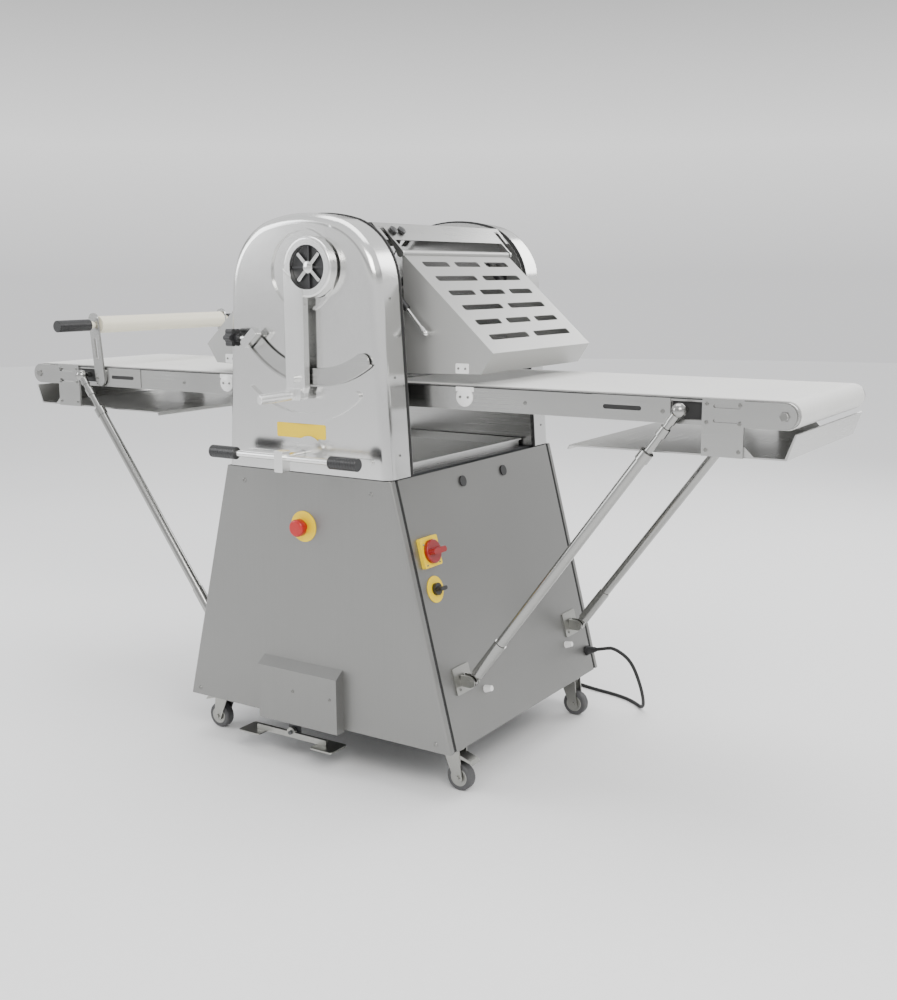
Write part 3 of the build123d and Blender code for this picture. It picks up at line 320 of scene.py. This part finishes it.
KNOB_YS = (-216, -184)
KNOB_SLOPE = Vector((38, 0, 36)).normalized()
ROD_Y = -442
ROD_Z = 753
ROD_GRIP = 75
PIN_X = -815
PIN_Z = 1023
PIN_GRIP = (262, 367.6)
STRUT_LANE = 262
SLOPE = (0.969, 0, 0.2475)

DISC_PROFILE = ((0, 0), (21, 0), (21, 3), (19.5, 4), (0, 4))
BOLT_PROFILE = ((0, 0), (10.5, 0), (10.5, 1.2), (8.5, 1.3), (8.5, 4.4), (7.6, 5), (0, 5))
KNOB_PROFILE = ((0, 0), (10.6, 0), (10.6, 4.6), (9.2, 5.4), (0, 5.4))
CAP_PROFILE = ((0, 0), (13, 0), (13, 3), (11, 4.5), (0, 5))
HUB_PROFILE = ((0, -0.5), (21, -0.5), (21, 0.3), (19, 0.9), (17, 0.2), (9, 0.2), (8, 0.7), (0, 0.7))


def lathe(mesh, profile, place, segments=32):
    """Revolves (radius, height) points about the place's Z axis; a first or last radius of 0 closes the end."""
    rings = []
    for radius, height in profile:
        if radius == 0:
            rings.append([mesh.verts.new(place @ Vector((0, 0, height * MM)))])
        else:
            turns = (2 * pi * i / segments for i in range(segments))
            rim = (Vector((radius * cos(a), radius * sin(a), height)) * MM for a in turns)
            rings.append([mesh.verts.new(place @ point) for point in rim])
    for low, high in zip(rings, rings[1:]):
        for i in range(segments):
            j = (i + 1) % segments
            corners = [low[i % len(low)], low[j % len(low)], high[j % len(high)], high[i % len(high)]]
            mesh.faces.new(list(dict.fromkeys(corners)))


def plate(mesh, place, width, height, thick, corner, edge=0.4):
    """A plate with round corners and a softened upper edge, its middle at the place and Z outwards."""
    levels = ((0, 0.0), (0, thick - edge), (edge, thick))
    rings = []
    for inset, lift in levels:
        ring = []
        for sx, sy, first in ((1, 1, 0), (-1, 1, 90), (-1, -1, 180), (1, -1, 270)):
            for step in range(6):
                a = radians(first + 18 * step)
                x = sx * (width / 2 - corner) + (corner - inset) * cos(a)
                y = sy * (height / 2 - corner) + (corner - inset) * sin(a)
                ring.append(mesh.verts.new(place @ (Vector((x, y, lift)) * MM)))
        rings.append(ring)
    for low, high in zip(rings, rings[1:]):
        for i in range(len(low)):
            j = (i + 1) % len(low)
            mesh.faces.new((low[i], low[j], high[j], high[i]))
    mesh.faces.new(rings[-1])
    mesh.faces.new(list(reversed(rings[0])))


def screw(mesh, place, radius=4.0):
    """Button-head screw with a round socket."""
    profile = ((0, -1.0), (radius, -1.0), (radius, 0.5), (0.88 * radius, 1.4), (0.6 * radius, 1.9),
               (0.48 * radius, 1.9), (0.42 * radius, 0.8), (0, 0.6))
    lathe(mesh, profile, place, 24)


def facing(point, outward, up=(0, 0, 1)):
    """Placement with Z along the outward direction and Y as near as it can be to up."""
    z = Vector(outward).normalized()
    x = Vector(up).cross(z).normalized()
    y = z.cross(x)
    return Matrix.Translation(point) @ Matrix((x, y, z)).transposed().to_4x4()


def on_node(node, x, y, z, outward):
    """Placement on a node's surface, found by looking back at it from outside along the outward direction."""
    out = Vector(outward).normalized()
    start = at(x, y, z) + out * 0.3
    found, place, normal, _ = NODES[node].ray_cast(start, -out)
    if not found:
        raise ValueError(f"{node} isn't there at {x}, {y}, {z}")
    return facing(place, normal, (0, 0, 1) if abs(normal.z) < 0.9 else (0, 1, 0))


def fitting(name, mesh, finish, body):
    bmesh.ops.recalc_face_normals(mesh, faces=mesh.faces)
    data = bpy.data.meshes.new(name)
    mesh.to_mesh(data)
    mesh.free()
    data.materials.append(MATERIALS[finish])
    for face in data.polygons:
        face.use_smooth = True
    data.set_sharp_from_angle(angle=radians(35))
    piece = bpy.data.objects.new(name, data)
    bpy.context.collection.objects.link(piece)
    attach(piece, body)
    return piece


def make_panel_screws():
    mesh = bmesh.new()
    for end, sy in ENDS:
        for x, z in PANEL_SCREWS:
            screw(mesh, on_node(f"{end}_panel", x, sy * 300, z, (0, sy, 0)), 5.5)
        for z in CASING_SCREW_ZS:
            for sx in (-1, 1):
                screw(mesh, on_node(f"{end}_casing", sx * CASING_SCREW_X, sy * 320, z, (sx, 0, 0)), 3.0)
    for x in PEDAL_SCREW_XS:
        screw(mesh, on_node("pedal_cover", x, -330, PEDAL_SCREW_Z, (0, -1, 0)), 3.5)
    fitting("panel_screws", mesh, "screw", "chassis")


def make_blank_label():
    mesh = bmesh.new()
    plate(mesh, on_node("front_casing", LABEL[0], -330, LABEL[1], (0, -1, 0)), *LABEL_SIZE, 0.9, 4)
    fitting("blank_label", mesh, "yellow", "chassis")


def make_table_fittings(side, sx):
    """One table's pivot discs, screws and end bolts, with black plates as painted shade in the window, over the
    slot and in the belt gap.
    """
    node = f"{side}_table_frame"
    discs = bmesh.new()
    bolts = bmesh.new()
    shade_strips = bmesh.new()
    for sy in (-1, 1):
        out = (0, sy, 0)
        disc = on_node(node, sx * DISC_X, sy * 200, TABLE_Z + 2, out)
        lathe(discs, DISC_PROFILE, disc, 48)
        plate(discs, on_node(node, sx * DISC_X, sy * 200, TABLE_Z + 19, out), 46, 10, 2, 2)
        for dx in (-DISC_SCREW_DX, DISC_SCREW_DX):
            screw(bolts, disc @ Matrix.Translation((dx * MM, 0, 4 * MM)), 3.0)
        for x in (BRACKET_X - BRACKET_BOLT_DX, BRACKET_X + BRACKET_BOLT_DX):
            for z in BRACKET_BOLT_ZS:
                screw(bolts, on_node(node, sx * x, sy * 200, z, out), 4.2)
        for x in FRAME_SCREW_XS:
            screw(bolts, on_node(node, sx * x, sy * 200, FRAME_SCREW_Z, out), 4.5)
        lathe(bolts, BOLT_PROFILE, facing(at(sx * END_X, sy * BRACKET_FACE, TABLE_Z), out), 6)
        # Black plates standing for the dark inside of the window and the slot: painted shade.
        plate(shade_strips, facing(at(sx * WINDOW_X, sy * WINDOW_FACE, TABLE_Z + 1), out), 62, 34, 0.6, 2, 0.2)
        plate(shade_strips, facing(at(sx * SLOT_X, sy * RAIL_FACE, TABLE_Z), out), 84, 9, 0.6, 4.4, 0.2)
        # A long black strip under the belt edge stands for the shadowed gap between belt and rail: painted
        # shade.
        plate(shade_strips, facing(at(sx * 590, sy * RAIL_FACE, TABLE_Z + 24.2), out), 850, 2.6, 0.5, 1.2, 0.2)
    fitting(f"{side}_pivot_discs", discs, "white", f"{side}_table")
    # Painted shade: the black window, slot and belt-gap plates.
    fitting(f"{side}_painted_shade_pieces", shade_strips, "rubber", f"{side}_table")
    fitting(f"{side}_table_bolts", bolts, "screw", f"{side}_table")


def make_guard_feet(side, sx):
    """Clear-plastic feet screwed to the guard's side plates above the belt."""
    feet = bmesh.new()
    bolts = bmesh.new()
    for sy in (-1, 1):
        foot = on_node(f"{side}_guard", sx * GUARD_FOOT[0], sy * 150, GUARD_FOOT[1], (0, sy, 0))
        plate(feet, foot, 34, 22, 2.4, 3)
        for dx in (-GUARD_SCREW_DX, GUARD_SCREW_DX):
            screw(bolts, foot @ Matrix.Translation((dx * MM, 0, 2.4 * MM)), 2.6)
    fitting(f"{side}_guard_feet", feet, "white", f"{side}_guard")
    fitting(f"{side}_guard_screws", bolts, "screw", f"{side}_guard")


def make_cover_knobs():
    """Black caps over the two knobs on the cover's sloping face."""
    mesh = bmesh.new()
    for y in KNOB_YS:
        lathe(mesh, KNOB_PROFILE, facing(at(KNOB_X, y, KNOB_Z) + KNOB_SLOPE * 2 * MM, KNOB_SLOPE), 36)
    fitting("cover_knobs", mesh, "black", "chassis")


def make_dial_cross():
    """Bright cross over the thickness dial, with a hub cap."""
    low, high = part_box("thickness_dial")
    middle = (low + high) / 2
    face = facing(Vector((middle.x, low.y, middle.z)), (0, -1, 0))
    mesh = bmesh.new()
    for turn in (45, 135):
        plate(mesh, face @ Matrix.Rotation(radians(turn), 4, "Z"), 84, 8, 1.6, 3.5)
    lathe(mesh, CAP_PROFILE, face, 40)
    fitting("dial_cross", mesh, "mirror", "thickness_lever")


def grip(mesh, start, end, radius):
    """Ribbed sleeve from start to end."""
    line = end - start
    place = Matrix.Translation(start) @ line.to_track_quat("Z", "Y").to_matrix().to_4x4()
    length = line.length / MM
    profile = [(0, 0), (radius - 1.5, 0), (radius, 1.5)]
    ribs = int(length / 7)
    for rib in range(1, ribs):
        middle = length * rib / ribs
        profile += [(radius, middle - 1.6), (radius - 0.7, middle - 0.8), (radius - 0.7, middle + 0.8),
                    (radius, middle + 1.6)]
    profile += [(radius, length - 1.5), (radius - 1.5, length), (0, length)]
    lathe(mesh, profile, place, 36)


def make_grips():
    low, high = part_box("direction_handle")
    rod = bmesh.new()
    left, right = low.x / MM, high.x / MM
    for start, end in ((left - 0.8, left + ROD_GRIP), (right - ROD_GRIP, right + 0.8)):
        grip(rod, at(start, ROD_Y, ROD_Z), at(end, ROD_Y, ROD_Z), 14.4)
    fitting("direction_grips", rod, "black", "direction_handle")
    pin = bmesh.new()
    for sy in (-1, 1):
        grip(pin, at(PIN_X, sy * PIN_GRIP[0], PIN_Z), at(PIN_X, sy * PIN_GRIP[1], PIN_Z), 15.4)
    fitting("pin_grips", pin, "black", "rolling_pin")


def make_wheel_hubs():
    for end, _ in ENDS:
        for side, _ in SIDES:
            name = f"{end}_{side}_caster_wheel"
            low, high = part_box(name)
            middle = (low + high) / 2
            mesh = bmesh.new()
            for edge, out in ((low.y, -1), (high.y, 1)):
                lathe(mesh, HUB_PROFILE, facing(Vector((middle.x, edge, middle.z)), (0, out, 0)), 40)
            fitting(f"{end}_{side}_hub", mesh, "zinc", name)


def make_control_screws():
    """Screws of the sloping side fittings: isolator plate, strut brackets."""
    mesh = bmesh.new()
    for sx in (-1, 1):
        for sy in (-1, 1):
            for dy in (-STRUT_SCREW_DY, STRUT_SCREW_DY):
                place = on_node("strut_brackets", sx * STRUT_SCREWS[0], sy * STRUT_LANE + dy, STRUT_SCREWS[1],
                                (sx, 0, 0.25))
                screw(mesh, place, 3.5)
    x, y, z = ISOLATOR
    for dy in (-ISOLATOR_SCREW, ISOLATOR_SCREW):
        for dz in (-ISOLATOR_SCREW, ISOLATOR_SCREW):
            screw(mesh, on_node("control_plates", x, y + dy, z + dz, SLOPE), 2.2)
    fitting("side_screws", mesh, "screw", "chassis")


# power cord

CORD_R = 4.5
COIL_R = 50.0
FLOOR_RUN = CORD_R + 0.1
MOUTH = (407.0, 318.0, 174.5)
COIL = (170.0, 440.0)
TURNS = 3
STEPS = 24
COIL_START = 84
COIL_END = 103


def cord_route():
    """The lead as in the part's source, then the turns, each in its own corner of the ring's section."""
    x, y, z = MOUTH
    points = [
        (x, y, z), (x + 25, y + 1, z + 6.4), (x + 50, y + 2, z + 12.7), (x + 94, y + 10, z - 14),
        (x + 114, y + 22, z - 68), (x + 120, y + 42, z - 124), (x + 104, y + 80, FLOOR_RUN),
        (x + 52, y + 124, FLOOR_RUN), (x - 8, y + 146, FLOOR_RUN), (x - 84, y + 156, FLOOR_RUN),
        (COIL[0] + 72, COIL[1] + COIL_R + 8, FLOOR_RUN), (COIL[0] + 14, COIL[1] + COIL_R + 5, FLOOR_RUN),
    ]
    near, far = COIL_R - 4.6, COIL_R + 5.0
    low, high = FLOOR_RUN, FLOOR_RUN + 9.2
    corners = ((far, low), (near, low), (near, high), (far - 1, high))
    window = 40.0
    last = TURNS * 360 + COIL_END - COIL_START
    count = round(last * STEPS / 360)
    for step in range(count + 1):
        swept = last * step / count
        radius, height = corners[0]
        for turn in range(1, TURNS + 1):
            begin = 360 * turn - window * turn
            share = min(1.0, max(0.0, (swept - begin) / window))
            radius += share * (corners[turn][0] - corners[turn - 1][0])
            height += share * (corners[turn][1] - corners[turn - 1][1])
        angle = radians(COIL_START + swept)
        points.append((COIL[0] + radius * cos(angle), COIL[1] + radius * sin(angle), height))
    return [at(*p) for p in points]


def make_cord():
    route = cord_route()
    data = bpy.data.curves.new("mains_lead", "CURVE")
    data.dimensions = "3D"
    data.bevel_depth = CORD_R * MM
    data.bevel_resolution = 6
    data.resolution_u = 6
    data.use_fill_caps = True
    line = data.splines.new("NURBS")
    line.points.add(len(route) - 1)
    for point, place in zip(line.points, route):
        point.co = (*place, 1)
    line.order_u = 3
    line.use_endpoint_u = True
    data.materials.append(MATERIALS["rubber"])
    lead = bpy.data.objects.new("mains_lead", data)
    bpy.context.collection.objects.link(lead)
    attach(lead, "chassis")
    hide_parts("power_cord", "cord_coil")


def make_floor():
    mesh = bmesh.new()
    bmesh.ops.create_circle(mesh, cap_ends=True, segments=96, radius=14)
    data = bpy.data.meshes.new("floor")
    mesh.to_mesh(data)
    mesh.free()
    data.materials.append(MATERIALS["floor"])
    floor = bpy.data.objects.new("floor", data)
    bpy.context.collection.objects.link(floor)


make_camera()
make_cord()
make_studio()
make_floor()
paint_nodes()
make_panel_screws()
make_blank_label()
for side_name, side_sign in SIDES:
    make_table_fittings(side_name, side_sign)
    make_guard_feet(side_name, side_sign)
make_cover_knobs()
make_dial_cross()
make_grips()
make_wheel_hubs()
make_control_screws()
